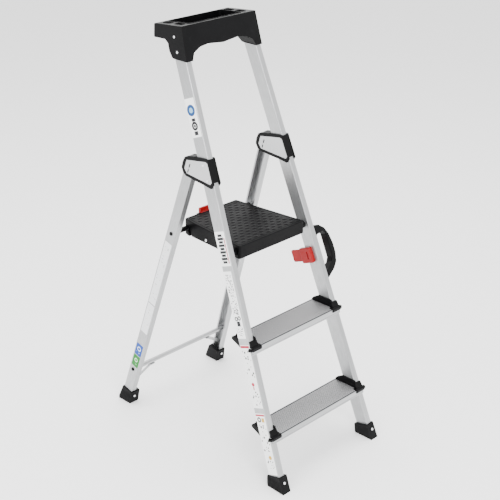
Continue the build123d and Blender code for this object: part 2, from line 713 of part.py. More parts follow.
with BuildPart() as platform_deck:
    with BuildSketch(plan(deck_top)) as deck_view:
        Polygon(*deck_outline, align=None)
        fillet(deck_view.vertices(), deck_corner)
    extrude(amount=-far)
    fillet(platform_deck.faces().sort_by(Axis.Z)[-1].edges(), deck_edge)
    with BuildSketch(side(0)):
        Polygon(*skirt_line, align=None)
    extrude(amount=far, both=True, mode=Mode.SUBTRACT)
    with BuildSketch(plan(deck_top - deck_wall)) as inner_view:
        Polygon(*deck_outline, align=None)
        offset(amount=-deck_wall, kind=Kind.INTERSECTION, mode=Mode.REPLACE)
    extrude(amount=-far, mode=Mode.SUBTRACT)
    with BuildSketch(plan(deck_top - deck_wall)):
        with Locations((-rib_x, rib_middle), (rib_x, rib_middle)):
            Rectangle(deck_wall, rib_length)
        with Locations(*[(0, row) for row in rib_rows]):
            Rectangle(2 * rib_x + deck_wall, deck_wall)
    extrude(amount=-rib_drop)
    for x_from, x_to in (boss_ends, (-boss_ends[1], -boss_ends[0])):
        with BuildSketch(side(x_from)):
            with Locations(axle):
                Circle(boss_radius)
        extrude(amount=x_to - x_from)
    with BuildSketch(side(-far)):
        with Locations(axle):
            Circle(axle_radius + running_fit)
        bar_slot()
    extrude(amount=2 * far, mode=Mode.SUBTRACT)
    with BuildSketch(side(-lever_notch)):
        with Locations((deck_rear - 5.5, 676)):
            Rectangle(far, far, align=(Align.MIN, Align.MIN))
    extrude(amount=2 * lever_notch, mode=Mode.SUBTRACT)
    with BuildSketch(side(-nose_notch)):
        with Locations((deck_rear - deck_wall - 1, 665)):
            Rectangle(far, far, align=(Align.MIN, Align.MAX))
    extrude(amount=2 * nose_notch, mode=Mode.SUBTRACT)
    for x_from in (lever_notch - 1.5, -lever_notch - 6.5):
        with BuildSketch(side(x_from)) as lug_view:
            Polygon((deck_rear - deck_wall, 698), (deck_rear - deck_wall, 668), (deck_rear, 668),
                    (latch_pivot[0] + 5, 683), (latch_pivot[0] + 5, 693), (latch_pivot[0], 698), align=None)
        extrude(amount=8)
    with BuildSketch(side(-far)):
        with Locations(latch_pivot):
            Circle(pin_hole)
    extrude(amount=2 * far, mode=Mode.SUBTRACT)
save(platform_deck, "platform_deck")

hook_plate = [(498, deck_top - deck_wall), (531.5, deck_top - deck_wall), (531.5, 662), (498, 655)]
with BuildPart() as platform_hooks:
    for x_from in (-93.0, -63.0, 60.0, 90.0):
        with BuildSketch(side(x_from)):
            Polygon(*hook_plate, align=None)
        extrude(amount=3)
    with BuildSketch(side(-far)):
        bar_slot()
    extrude(amount=2 * far, mode=Mode.SUBTRACT)
save(platform_hooks, "platform_hooks")

brace = (426.0, 663.5)
brace_half = deck_half(brace[0]) - deck_wall - 1.0
save(rod(-brace_half, brace_half, brace, 5.0), "platform_brace")
flange_tilt = (deck_front_half - deck_rear_half) / (deck_rear - deck_front)
flange_plane = Plane(
    origin=(mid_x + deck_half(brace[0]), base_y + brace[0], brace[1]),
    x_dir=(0, 0, 1),
    z_dir=(1, flange_tilt, 0),
)
save(pair_group(heads(flange_plane, [(0, 0)], 4.6, 2.2)), "platform_rivets")

# ------------------------------------------------------------------ platform latch
latch_bore = pin_hole + running_fit
spring_room = 9.0
lever_outline = [(536.7, 700), (537.4, 712), (539, 713.5), (544, 712.6), (545.4, 709), (545.4, 684),
                 (541, 680), (541, 655), (538, 653.6), (528, 653.6), (525.9, 658.6), (536.7, 662)]
with BuildPart() as latch_lever:
    with BuildSketch(side(-lever_half)):
        Polygon(*lever_outline, align=None)
    extrude(amount=2 * lever_half)
    with BuildSketch(side(nose_notch - 2)):
        with Locations((latch_pivot[0], 676)):
            Rectangle(far, far, align=(Align.CENTER, Align.MAX))
    extrude(amount=far, mode=Mode.SUBTRACT)
    with BuildSketch(side(-nose_notch + 2)):
        with Locations((latch_pivot[0], 676)):
            Rectangle(far, far, align=(Align.CENTER, Align.MAX))
    extrude(amount=-far, mode=Mode.SUBTRACT)
    with BuildSketch(side(-far)):
        with Locations(latch_pivot):
            Circle(latch_bore)
    extrude(amount=2 * far, mode=Mode.SUBTRACT)
    with BuildSketch(side(-spring_room)):
        with Locations(latch_pivot):
            Rectangle(far, 11)
    extrude(amount=2 * spring_room, mode=Mode.SUBTRACT)
save(latch_lever, "latch_lever")
save(rod(-lever_notch - 5, lever_notch + 5, latch_pivot, pin_hole), "latch_pin")

wire = 0.6
with BuildPart() as latch_spring:
    with BuildLine():
        coil = Helix(
            pitch=2.4,
            height=2 * spring_room - 4,
            radius=pin_hole + wire + 0.1,
            center=(mid_x - spring_room + 2, base_y + latch_pivot[0], latch_pivot[1]),
            direction=(1, 0, 0),
        )
    with BuildSketch(Plane(origin=coil @ 0, z_dir=coil % 0)):
        Circle(wire)
    sweep()
save(latch_spring, "latch_spring")

# ------------------------------------------------------------------ stickers
sticker_film = 0.3
stile_stickers = {              # from front, to rear, from, to along the stile
    "sticker_foot": (5.0, 43.5, 58.0, 251.0),
    "sticker_load": (3.0, 43.5, 268.0, 463.0),
    "sticker_notes": (9.0, 43.5, 483.0, 688.0),
    "sticker_bars": (2.0, 43.5, 704.0, 808.0),
    "sticker_rings": (3.0, 43.5, 1088.0, 1202.0),
}
leg_stickers = {
    "leg_label_strips": (-15.0, 15.0, 306.0, 672.0),
    "leg_label_blue": (-15.0, 15.0, 206.0, 252.0),
    "leg_label_green": (-15.0, 15.0, 157.0, 203.0),
}


def sticker(face, front, rear, low, high):
    """Thin film on an outer face, made for the left side."""
    with BuildPart() as film:
        with BuildSketch(face):
            with Locations(((front + rear) / 2, (low + high) / 2)):
                RectangleRounded(rear - front, high - low, 2)
        extrude(amount=sticker_film)
    return mirrored(film)


for name, place in stile_stickers.items():
    save(sticker(stile_face, *place), name)
for name, place in leg_stickers.items():
    save(sticker(leg_face, *place), name)

whole = Compound(children=finished).bounding_box()
print(len(finished), "nodes; whole box from", whole.min, "to", whole.max)
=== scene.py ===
# %% [markdown]
# # A folding step ladder, dressed around its working model
#
# The working model already holds every piece at its real size: stiles, treads, platform, tray, hinges.
# What is left for Blender is the part a hand and an eye would notice: the drawn aluminium, the grained
# black mouldings, the raised studs on the platform, the labels, the light. So the script loads the model
# as a fixed frame, never moves it, and adds finishes and fine pieces that take their places from it.

import json
from math import atan, cos, pi, radians, sin

import bmesh
import bpy
from mathutils import Euler, Matrix, Vector


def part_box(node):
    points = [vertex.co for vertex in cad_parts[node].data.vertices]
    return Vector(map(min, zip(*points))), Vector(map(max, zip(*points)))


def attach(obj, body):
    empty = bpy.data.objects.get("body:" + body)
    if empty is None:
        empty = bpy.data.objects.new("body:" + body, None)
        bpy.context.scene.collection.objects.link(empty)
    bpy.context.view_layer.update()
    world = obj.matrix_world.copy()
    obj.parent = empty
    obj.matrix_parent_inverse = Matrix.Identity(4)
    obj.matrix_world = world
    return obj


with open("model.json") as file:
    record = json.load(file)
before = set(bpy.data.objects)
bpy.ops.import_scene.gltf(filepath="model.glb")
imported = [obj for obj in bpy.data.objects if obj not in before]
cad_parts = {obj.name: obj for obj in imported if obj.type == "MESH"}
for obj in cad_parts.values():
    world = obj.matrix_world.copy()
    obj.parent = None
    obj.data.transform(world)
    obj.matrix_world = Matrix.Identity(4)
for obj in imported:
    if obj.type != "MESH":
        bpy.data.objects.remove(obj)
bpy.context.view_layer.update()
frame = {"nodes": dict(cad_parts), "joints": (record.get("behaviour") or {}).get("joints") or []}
joints = {joint["name"]: joint for joint in frame["joints"]}

# %% [markdown]
# ## Where things are
#
# The ladder leans, so most patterns have to lean with it. Two slopes say how: the stiles lean back and
# the rear legs lean forward. Both pairs also come a little closer together towards the top, which two
# tapers give. The middle plane comes from the lower tread, which is symmetric.

# %% Angles and the middle plane
stile_slope, leg_slope = 0.3882, 0.3205     # backward and forward lean, metres per metre of height
stile_taper, leg_taper = 0.0511, 0.0544     # inward lean of the stiles and of the legs
stile_lean, leg_lean = atan(stile_slope), -atan(leg_slope)
hinge_behind = 0.4475                       # from the stiles' front line at the floor back to the hinge
tread_low, tread_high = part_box("tread_lower")
middle_x = (tread_low[0] + tread_high[0]) / 2
front_y = joints["rear_fold"]["pos_m"][1] - hinge_behind
print("middle plane at x", round(middle_x, 4), "stile line starts at y", round(front_y, 4))

# %% [markdown]
# ## Small tools for materials
#
# Every finish is a Principled shader fed by a few procedural nodes. A tiny set of helpers keeps each
# recipe short: one makes the material, one adds a node, one fills its inputs, and one puts the finished
# material on a piece. They don't hide anything, they only save the typing of links.

# %% Helpers that make nodes
def new_material(name):
    """A material with its node tree, which holds a Principled shader from the start."""
    material = bpy.data.materials.new(name)
    material.use_nodes = True
    return material, material.node_tree


def node(tree, kind, **settings):
    """A new node with its properties set."""
    made = tree.nodes.new(kind)
    for key, value in settings.items():
        setattr(made, key, value)
    return made


def feed(tree, target, **inputs):
    """Fills inputs by name, with underscores for spaces, or by number, as i0. Sockets are linked."""
    for key, value in inputs.items():
        numbered = key[0] == "i" and key[1:].isdigit()
        socket = target.inputs[int(key[1:])] if numbered else target.inputs[key.replace("_", " ")]
        if isinstance(value, bpy.types.NodeSocket):
            tree.links.new(value, socket)
        else:
            socket.default_value = value


def shader_of(tree):
    return tree.nodes["Principled BSDF"]


def wear(node_name, material):
    """Puts one material on all slots of a node of the working model."""
    piece = frame["nodes"][node_name]
    if not piece.material_slots:
        piece.data.materials.append(material)
    for place in piece.material_slots:
        place.material = material


# %% [markdown]
# ## Shared surface effects
#
# Three effects come back on many pieces, so each is a node group that is built once. A group puts out
# only values: a height for bump, a tone for colour, a mask for scuffs. The shader stays outside.
#
# *Drawn lines*: an aluminium profile is pushed through a die, which leaves faint lines along its length.
# A noise that is squeezed across and stretched along gives them.
#
# *Moulded grain*: plastic parts copy the spark-eroded texture of their mould, a fine even noise.
#
# *Scuffs*: sparse soft marks where hands, tools and shoes have rubbed.

# %% A helper for groups
def new_group(name, inputs, outputs):
    """An empty node group with its sockets, and its entry and exit nodes."""
    group = bpy.data.node_groups.new(name, "ShaderNodeTree")
    for label, kind, value in inputs:
        socket = group.interface.new_socket(name=label, in_out="INPUT", socket_type=kind)
        if value is not None:
            socket.default_value = value
    for label, kind in outputs:
        group.interface.new_socket(name=label, in_out="OUTPUT", socket_type=kind)
    return group, group.nodes.new("NodeGroupInput"), group.nodes.new("NodeGroupOutput")


# %% Drawn lines
def build_drawn_lines():
    """Tone and height of the faint lines along a drawn profile, with a slow cloud in the tone."""
    group, entry, leave = new_group(
        "drawn_lines",
        [("Coordinates", "NodeSocketVector", None), ("Fineness", "NodeSocketFloat", 900.0),
         ("Depth", "NodeSocketFloat", 1.0)],
        [("Tone", "NodeSocketFloat"), ("Height", "NodeSocketFloat")],
    )
    squeeze = node(group, "ShaderNodeMapping")
    squeeze.inputs["Scale"].default_value = (1.0, 1.0, 0.006)
    feed(group, squeeze, Vector=entry.outputs["Coordinates"])
    lines = node(group, "ShaderNodeTexNoise")
    feed(group, lines, Vector=squeeze.outputs[0], Scale=entry.outputs["Fineness"], Detail=3.0, Roughness=0.6)
    cloud = node(group, "ShaderNodeTexNoise")
    feed(group, cloud, Vector=entry.outputs["Coordinates"], Scale=9.0, Detail=2.0)
    both = node(group, "ShaderNodeMath", operation="MULTIPLY_ADD")
    feed(group, both, i0=cloud.outputs["Fac"], i1=0.45, i2=lines.outputs["Fac"])
    height = node(group, "ShaderNodeMath", operation="MULTIPLY")
    feed(group, height, i0=lines.outputs["Fac"], i1=entry.outputs["Depth"])
    group.links.new(both.outputs[0], leave.inputs["Tone"])
    group.links.new(height.outputs[0], leave.inputs["Height"])
    return group


# %% Moulded grain
def build_moulded_grain():
    """Height of a fine even grain, and a slow tone for its colour."""
    group, entry, leave = new_group(
        "moulded_grain",
        [("Coordinates", "NodeSocketVector", None), ("Fineness", "NodeSocketFloat", 1400.0)],
        [("Height", "NodeSocketFloat"), ("Tone", "NodeSocketFloat")],
    )
    grain = node(group, "ShaderNodeTexNoise")
    feed(group, grain, Vector=entry.outputs["Coordinates"], Scale=entry.outputs["Fineness"], Detail=2.0)
    cloud = node(group, "ShaderNodeTexNoise")
    feed(group, cloud, Vector=entry.outputs["Coordinates"], Scale=24.0, Detail=3.0)
    group.links.new(grain.outputs["Fac"], leave.inputs["Height"])
    group.links.new(cloud.outputs["Fac"], leave.inputs["Tone"])
    return group


# %% Scuffs
def build_scuffs():
    """A mask of sparse soft marks."""
    group, entry, leave = new_group(
        "scuffs",
        [("Coordinates", "NodeSocketVector", None), ("Amount", "NodeSocketFloat", 0.3)],
        [("Mask", "NodeSocketFloat")],
    )
    stretch = node(group, "ShaderNodeMapping")
    stretch.inputs["Scale"].default_value = (1.0, 0.35, 1.0)
    stretch.inputs["Rotation"].default_value = (0.4, 0.2, 0.9)
    feed(group, stretch, Vector=entry.outputs["Coordinates"])
    marks = node(group, "ShaderNodeTexNoise")
    feed(group, marks, Vector=stretch.outputs[0], Scale=70.0, Detail=6.0, Roughness=0.72)
    cut = node(group, "ShaderNodeMapRange")
    feed(group, cut, Value=marks.outputs["Fac"], i1=0.58, i2=0.74, i3=0.0, i4=1.0)
    scaled = node(group, "ShaderNodeMath", operation="MULTIPLY")
    feed(group, scaled, i0=cut.outputs[0], i1=entry.outputs["Amount"])
    group.links.new(scaled.outputs[0], leave.inputs["Mask"])
    return group


# %% The three groups, built once
groups = {
    "lines": build_drawn_lines(),
    "grain": build_moulded_grain(),
    "scuffs": build_scuffs(),
}
print("shared effects:", ", ".join(groups))


# %% [markdown]
# ## Turning object space along a leaning profile
#
# The profiles lean, so the pattern space has to be turned until its third axis runs along the metal.
# A Mapping node that turns about X does that: afterwards the second coordinate is the depth of the
# profile and the third is the length along it. Treads and tubes run along X instead and turn about Y.
# The same node can also put a chosen point at zero, which the labels use later.

# %% Coordinates that follow a profile
def leaning_space(tree, turn=(0.0, 0.0, 0.0), centre=(0.0, 0.0, 0.0)):
    """Object coordinates turned by three angles, with the centre at zero."""
    coordinates = node(tree, "ShaderNodeTexCoord")
    place = node(tree, "ShaderNodeMapping")
    spin = Euler(turn, "XYZ").to_matrix()
    feed(tree, place, Vector=coordinates.outputs["Object"], Rotation=turn,
         Location=-(spin @ Vector(centre)))
    return place.outputs[0]


# %% Short names for nodes that come back
def use_group(tree, name, **inputs):
    """One of the shared effects, placed in a material."""
    placed = node(tree, "ShaderNodeGroup", node_tree=groups[name])
    feed(tree, placed, **inputs)
    return placed


def colour_between(tree, share, dark, light):
    """A colour that runs from dark to light as the share goes from 0 to 1."""
    mixed = node(tree, "ShaderNodeMix", data_type="RGBA")
    feed(tree, mixed, i0=share, i6=(*dark, 1.0), i7=(*light, 1.0))
    return mixed.outputs[2]


def value_between(tree, value, low, high, out_low, out_high):
    """A value moved from one range to another, and held inside it."""
    moved = node(tree, "ShaderNodeMapRange")
    feed(tree, moved, Value=value, i1=low, i2=high, i3=out_low, i4=out_high)
    return moved.outputs[0]


def bump(tree, height, strength, distance):
    """Fine relief on the shader's normal, with the distance in metres."""
    relief = node(tree, "ShaderNodeBump")
    feed(tree, relief, Height=height, Strength=strength, Distance=distance)
    feed(tree, shader_of(tree), Normal=relief.outputs[0])


def within(tree, value, middle, half):
    """A mask that is 1 where the value lies within half of the middle."""
    test = node(tree, "ShaderNodeMath", operation="COMPARE")
    feed(tree, test, i0=value, i1=middle, i2=half)
    return test.outputs[0]


# %% [markdown]
# ## Aluminium
#
# Mill-finish aluminium is bright but not a mirror. It is metal with a middling roughness, and its tone
# drifts a little along the bar. The treads get the same metal with rougher tops, and their ribs carry
# painted
# light: a painted highlight on the rib tops and painted shade in the grooves between them. Each tread is
# level, so masks on its height tell rib, groove and nose apart. One more mask draws the dark line low on the
# nose.

# %% Where a tread changes, in metres below its ribs' tops
groove_floor = (0.0013, 0.0011)
rib_flank = (0.0006, 0.0002)
nose_line_drop, nose_line_half = 0.0172, 0.0007


# %% Aluminium materials
def aluminium(name, turn, rib_top=None):
    """Drawn aluminium: the turn lays its lines along the bar, rib_top is the height of a tread's ribs."""
    material, tree = new_material(name)
    space = leaning_space(tree, turn)
    lines = use_group(tree, "lines", Coordinates=space, Fineness=700.0, Depth=1.0)
    scuffs = use_group(tree, "scuffs", Coordinates=space, Amount=0.35)
    tone = value_between(tree, lines.outputs["Tone"], 0.45, 1.0, 0.0, 1.0)
    colour = colour_between(tree, tone, (0.31, 0.315, 0.32), (0.47, 0.475, 0.48))
    rough = value_between(tree, lines.outputs["Tone"], 0.4, 1.05, 0.42, 0.30)
    if rib_top is not None:
        coordinates = node(tree, "ShaderNodeTexCoord")
        parts = node(tree, "ShaderNodeSeparateXYZ")
        feed(tree, parts, i0=coordinates.outputs["Object"])
        height = parts.outputs[2]
        top = value_between(tree, height, *[rib_top - drop for drop in groove_floor], 0.0, 1.0)
        rib = value_between(tree, height, *[rib_top - drop for drop in rib_flank], 0.0, 1.0)
        # Painted light on the tread top: this mix turns the plain metal into a painted highlight on the rib
        # tops (0.58) and painted shade in the grooves (0.07).
        ribs_painted_light = node(tree, "ShaderNodeMix", data_type="RGBA")
        rib_highlight_groove_shade = colour_between(tree, rib, (0.07, 0.07, 0.075), (0.58, 0.58, 0.585))
        feed(tree, ribs_painted_light, i0=top, i6=colour, i7=rib_highlight_groove_shade)
        nose_line = within(tree, height, rib_top - nose_line_drop, nose_line_half)
        lined = node(tree, "ShaderNodeMix", data_type="RGBA")
        feed(tree, lined, i0=nose_line, i6=ribs_painted_light.outputs[2], i7=(0.16, 0.16, 0.165, 1.0))
        colour = lined.outputs[2]
        rough = value_between(tree, top, 0.0, 1.0, 0.36, 0.55)
    marked = node(tree, "ShaderNodeMix", data_type="RGBA")
    feed(tree, marked, i0=scuffs.outputs["Mask"], i6=colour, i7=(0.30, 0.305, 0.31, 1.0))
    feed(tree, shader_of(tree), Base_Color=marked.outputs[2], Roughness=rough, Metallic=0.85)
    bump(tree, lines.outputs["Height"], 0.25, 0.0001)
    return material


# %% Aluminium on the profiles
stile_metal = aluminium("stile_metal", (stile_lean, 0.0, 0.0))
leg_metal = aluminium("leg_metal", (leg_lean, 0.0, 0.0))
cross_metal = aluminium("cross_metal", (0.0, pi / 2, 0.0))
for name in ("stile_left", "stile_right"):
    wear(name, stile_metal)
for name in ("leg_left", "leg_right", "stay_left", "stay_right"):
    wear(name, leg_metal)
for name in ("cross_tube_upper", "cross_tube_lower"):
    wear(name, cross_metal)
for name in ("tread_lower", "tread_upper"):
    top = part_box(name)[1][2]
    wear(name, aluminium(name + "_metal", (0.0, pi / 2, 0.0), rib_top=top))
    print(name, "has its ribs' tops at", round(top, 4))


# %% [markdown]
# ## Black mouldings, rubber feet and red plastic
#
# The tray, handle, housings, caps and platform are glass-filled black plastic: nearly black, half
# glossy, with a fine grain that breaks up highlights. Feet are softer and more matt. The latch lever and
# the folding catch are red so that a user finds them, and smoother, because fingers polish them. All four
# plastics are one recipe with other numbers: two colours, a rubbed colour, two roughnesses and a grain.

# %% A moulded plastic
def moulded(name, dark, light, rubbed, rough_low, rough_high, grain_depth, fineness=1300.0, shine=0.09):
    """Grained plastic: shine is the strength of its reflection, rubbed the colour of its scuffs."""
    material, tree = new_material(name)
    space = leaning_space(tree)
    grain = use_group(tree, "grain", Coordinates=space, Fineness=fineness)
    scuffs = use_group(tree, "scuffs", Coordinates=space, Amount=0.5)
    colour = colour_between(tree, grain.outputs["Tone"], dark, light)
    worn = node(tree, "ShaderNodeMix", data_type="RGBA")
    feed(tree, worn, i0=scuffs.outputs["Mask"], i6=colour, i7=(*rubbed, 1.0))
    rough = value_between(tree, grain.outputs["Tone"], 0.3, 0.7, rough_low, rough_high)
    feed(tree, shader_of(tree), Base_Color=worn.outputs[2], Roughness=rough,
         Specular_IOR_Level=shine)
    bump(tree, grain.outputs["Height"], grain_depth, 0.0002)
    return material


# %% Four plastics and where they go
black_plastic = moulded("black_plastic", (0.0010, 0.0010, 0.0012), (0.0022, 0.0022, 0.0026),
                        (0.008, 0.008, 0.009), 0.30, 0.44, 0.2)
black_deck = moulded("black_deck", (0.0009, 0.0009, 0.0011), (0.0020, 0.0020, 0.0023),
                     (0.004, 0.004, 0.005), 0.34, 0.48, 0.3, shine=0.07)
black_rubber = moulded("black_rubber", (0.002, 0.002, 0.0022), (0.004, 0.004, 0.0044),
                       (0.012, 0.012, 0.012), 0.5, 0.7, 0.4, fineness=900.0)
red_plastic = moulded("red_plastic", (0.20, 0.0012, 0.0025), (0.28, 0.002, 0.004),
                      (0.34, 0.010, 0.014), 0.28, 0.4, 0.1, shine=0.22)
plastic_of = {
    "tool_tray": black_plastic, "carry_handle": black_plastic, "cross_tube_sleeve": black_plastic,
    "axle_spacers": black_plastic, "hinge_bushes": black_plastic, "tube_plugs": black_plastic,
    "hinge_housing_left": black_plastic, "hinge_housing_right": black_plastic,
    "platform_deck": black_deck, "latch_lever": red_plastic, "catch_base": red_plastic,
    "catch_tongue": red_plastic,
}
for place in ("front", "rear"):
    for hand in ("left", "right"):
        plastic_of[f"foot_{place}_{hand}"] = black_rubber
for place in ("lower", "upper"):
    for hand in ("left", "right"):
        plastic_of[f"tread_cap_{place}_{hand}"] = black_plastic
for name, material in plastic_of.items():
    wear(name, material)
print(len(plastic_of), "mouldings are dressed")


# %% [markdown]
# ## Bright plates, rivets and steel
#
# The hinge plates are brushed sheet, with the brushing along the ladder. Rivets, screws, pins and the
# steel under the platform are zinc plated: brighter, with a faint cloudy bloom instead of lines.

# %% Steel materials
def steel(name, turn, dark, light, rough, brushed):
    """Steel that is either brushed in fine lines or zinc plated with a cloudy bloom."""
    material, tree = new_material(name)
    space = leaning_space(tree, turn)
    fineness = 1600.0 if brushed else 60.0
    lines = use_group(tree, "lines", Coordinates=space, Fineness=fineness, Depth=1.0)
    scuffs = use_group(tree, "scuffs", Coordinates=space, Amount=0.25)
    tone = value_between(tree, lines.outputs["Tone"], 0.45, 1.0, 0.0, 1.0)
    colour = node(tree, "ShaderNodeMix", data_type="RGBA")
    feed(tree, colour, i0=scuffs.outputs["Mask"], i6=colour_between(tree, tone, dark, light),
         i7=(0.45, 0.46, 0.47, 1.0))
    feed(tree, shader_of(tree), Base_Color=colour.outputs[2], Metallic=0.8,
         Roughness=value_between(tree, tone, 0.0, 1.0, rough + 0.08, rough))
    bump(tree, lines.outputs["Height"], 0.2, 0.0001)
    return material


# %% Steel on plates, rivets and pins
bright_plate = steel("bright_plate", (stile_lean, 0.0, 0.0), (0.46, 0.465, 0.47), (0.60, 0.605, 0.61),
                     0.34, brushed=True)
zinc = steel("zinc_steel", (0.0, 0.0, 0.0), (0.60, 0.61, 0.62), (0.80, 0.81, 0.82), 0.28, brushed=False)
for name in frame["nodes"]:
    if name.startswith("hinge_plate"):
        wear(name, bright_plate)
steel_names = [name for name in frame["nodes"] if "rivets" in name or name.startswith("hinge_pin")]
steel_names += ["handle_screws", "catch_pin", "latch_pin", "latch_spring", "platform_axle", "platform_brace",
                "platform_hooks"]
for name in steel_names:
    wear(name, zinc)
print(len(steel_names), "steel pieces are dressed")


# %% [markdown]
# ## Labels
#
# A real ladder carries a column of stickers. Here they are plain: white film with bars, dots and rings
# that mean nothing. Each pattern is drawn by masks in the sticker's own flat space: a Mapping node turns
# the leaning film upright and puts its middle at zero, and a Compare node answers 1 where a coordinate
# lies within a given distance of a given line. Two Compares multiplied make a bar.

# %% Label drawing tools: the flat space and its masks
def flat_space(tree, node_name, lean):
    """The two coordinates of a leaning film, across and along, from its middle."""
    low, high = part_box(node_name)
    centre = [(a + b) / 2 for a, b in zip(low, high)]
    upright = leaning_space(tree, (lean, 0.0, 0.0), centre)
    parts = node(tree, "ShaderNodeSeparateXYZ")
    feed(tree, parts, i0=upright)
    return parts.outputs[1], parts.outputs[2]


def both_of(tree, first, second):
    """The overlap of two masks."""
    product = node(tree, "ShaderNodeMath", operation="MULTIPLY")
    feed(tree, product, i0=first, i1=second)
    return product.outputs[0]


def bar(tree, across, along, middle, half):
    """A mask for a rectangle."""
    return both_of(tree, within(tree, across, middle[0], half[0]), within(tree, along, middle[1], half[1]))


def ring(tree, across, along, middle, radius, half):
    """A mask for a ring of a radius and half a width, or for a disc where the radius is zero."""
    away = []
    for value, centre in ((across, middle[0]), (along, middle[1])):
        offset = node(tree, "ShaderNodeMath", operation="SUBTRACT")
        feed(tree, offset, i0=value, i1=centre)
        square = node(tree, "ShaderNodeMath", operation="POWER")
        feed(tree, square, i0=offset.outputs[0], i1=2.0)
        away.append(square.outputs[0])
    total = node(tree, "ShaderNodeMath", operation="ADD")
    feed(tree, total, i0=away[0], i1=away[1])
    root = node(tree, "ShaderNodeMath", operation="SQRT")
    feed(tree, root, i0=total.outputs[0])
    return within(tree, root.outputs[0], radius, half)


def speckle(tree, across, along, middle, half, size, density):
    """Small scattered marks inside a rectangle, as fine print seen from afar."""
    space = node(tree, "ShaderNodeCombineXYZ")
    feed(tree, space, i0=across, i1=along)
    squashed = node(tree, "ShaderNodeMapping")
    squashed.inputs["Scale"].default_value = (1.0 / size[0], 1.0 / size[1], 1.0)
    feed(tree, squashed, Vector=space.outputs[0])
    dots = node(tree, "ShaderNodeTexVoronoi", feature="F1")
    feed(tree, dots, Vector=squashed.outputs[0], Scale=1.0, Randomness=0.85)
    small = node(tree, "ShaderNodeMath", operation="LESS_THAN")
    feed(tree, small, i0=dots.outputs["Distance"], i1=density)
    return both_of(tree, small.outputs[0], bar(tree, across, along, middle, half))


def print_label(node_name, lean, layers, film=(0.86, 0.865, 0.86)):
    """A film with coloured layers: each layer is a function that makes a mask, and a colour."""
    material, tree = new_material(node_name + "_print")
    across, along = flat_space(tree, node_name, lean)
    coordinates = node(tree, "ShaderNodeTexCoord")
    grain = use_group(tree, "grain", Coordinates=coordinates.outputs["Object"], Fineness=300.0)
    colour = colour_between(tree, grain.outputs["Tone"], [0.97 * v for v in film], film)
    for mask, ink in layers:
        mixed = node(tree, "ShaderNodeMix", data_type="RGBA")
        feed(tree, mixed, i0=mask(tree, across, along), i6=colour, i7=(*ink, 1.0))
        colour = mixed.outputs[2]
    feed(tree, shader_of(tree), Base_Color=colour, Specular_IOR_Level=0.25,
         Roughness=value_between(tree, grain.outputs["Tone"], 0.3, 0.7, 0.3, 0.4))
    bump(tree, grain.outputs["Height"], 0.05, 0.0001)
    wear(node_name, material)
    print(node_name, "has", len(layers), "printed layers")


# %% [markdown]
# The layers below are written in millimetres from the middle of each label, across and along. Three
# small helpers turn them into metres and into masks: a bar, a ring or disc, and a field of small marks.

# %% Inks and layer helpers
ink, grey_ink, red_ink = (0.006, 0.006, 0.008), (0.055, 0.055, 0.06), (0.36, 0.008, 0.035)
blue_ink, pale_blue, green_ink = (0.006, 0.05, 0.17), (0.22, 0.42, 0.60), (0.001, 0.16, 0.010)
yellow_ink = (0.50, 0.30, 0.04)
mm = 0.001


def draw_bar(middle, half):
    return lambda tree, a, b: bar(tree, a, b, [v * mm for v in middle], [v * mm for v in half])


def draw_ring(middle, radius, half):
    return lambda tree, a, b: ring(tree, a, b, [v * mm for v in middle], radius * mm, half * mm)


def draw_print(middle, half, size, density=0.28):
    return lambda tree, a, b: speckle(tree, a, b, [v * mm for v in middle], [v * mm for v in half],
                                      [v * mm for v in size], density)


# %% [markdown]
# The two upper labels are the boldest ones. One is a ladder of bars beside a red line, in the place of a
# maker's sign, and one is a blue disc above a target, where a test mark would be.

# %% Bars and rings
bars = [(draw_bar((1, 40 - 10 * i), (13 if i % 2 else 9, 3.8)), ink) for i in range(9)]
print_label("sticker_bars", stile_lean, bars + [(draw_bar((-15.5, -6), (1.8, 38)), red_ink)])
print_label("sticker_rings", stile_lean, [
    (draw_ring((2, 22), 0, 17), blue_ink),
    (draw_ring((2, 22), 0, 8), pale_blue),
    (draw_ring((0, -24), 9.5, 3.6), ink),
    (draw_ring((0, -24), 0, 4.4), ink),
    (draw_bar((0, -6), (8, 4.4)), ink),
    (draw_bar((0, -45), (8, 6)), ink),
])

# %% [markdown]
# The three lower labels would carry the rules for use. From a step away such print is only a field of
# small marks, so scattered dots stand for it, with a few bolder shapes between them.

# %% Fields of small marks
print_label("sticker_notes", stile_lean, [
    (draw_print((0, 38), (13, 56), (6.0, 5.0), 0.40), grey_ink),
    (draw_print((0, -22), (13, 7), (6.0, 5.0), 0.48), ink),
    (draw_ring((-7, -40), 5, 1.8), ink),
    (draw_ring((6, -42), 5, 1.8), ink),
    (draw_bar((0, -57), (7, 7.5)), ink),
    (draw_print((0, -82), (13, 14), (6.0, 4.4), 0.36), grey_ink),
])
print_label("sticker_load", stile_lean, [
    (draw_bar((0, 92), (19, 3.6)), red_ink),
    (draw_print((0, 36), (16, 44), (9.0, 10.0), 0.36), ink),
    (draw_ring((0, -24), 0, 6.0), red_ink),
    (draw_bar((0, -36), (2.2, 5)), red_ink),
    (draw_print((0, -68), (16, 22), (8.0, 9.0), 0.36), ink),
])
print_label("sticker_foot", stile_lean, [
    (draw_bar((0, 91), (19, 2.6)), red_ink),
    (draw_bar((-9, 76), (5.5, 6.5)), yellow_ink),
    (draw_ring((7, 77), 6, 2.2), ink),
    (draw_print((0, 22), (16, 44), (8.5, 9.5), 0.37), ink),
    (draw_ring((-4, -42), 0, 6.5), yellow_ink),
    (draw_print((0, -64), (13, 12), (7.0, 8.0), 0.38), ink),
])

# %% [markdown]
# The leg has a long, nearly clear film and two small coloured squares near its foot.

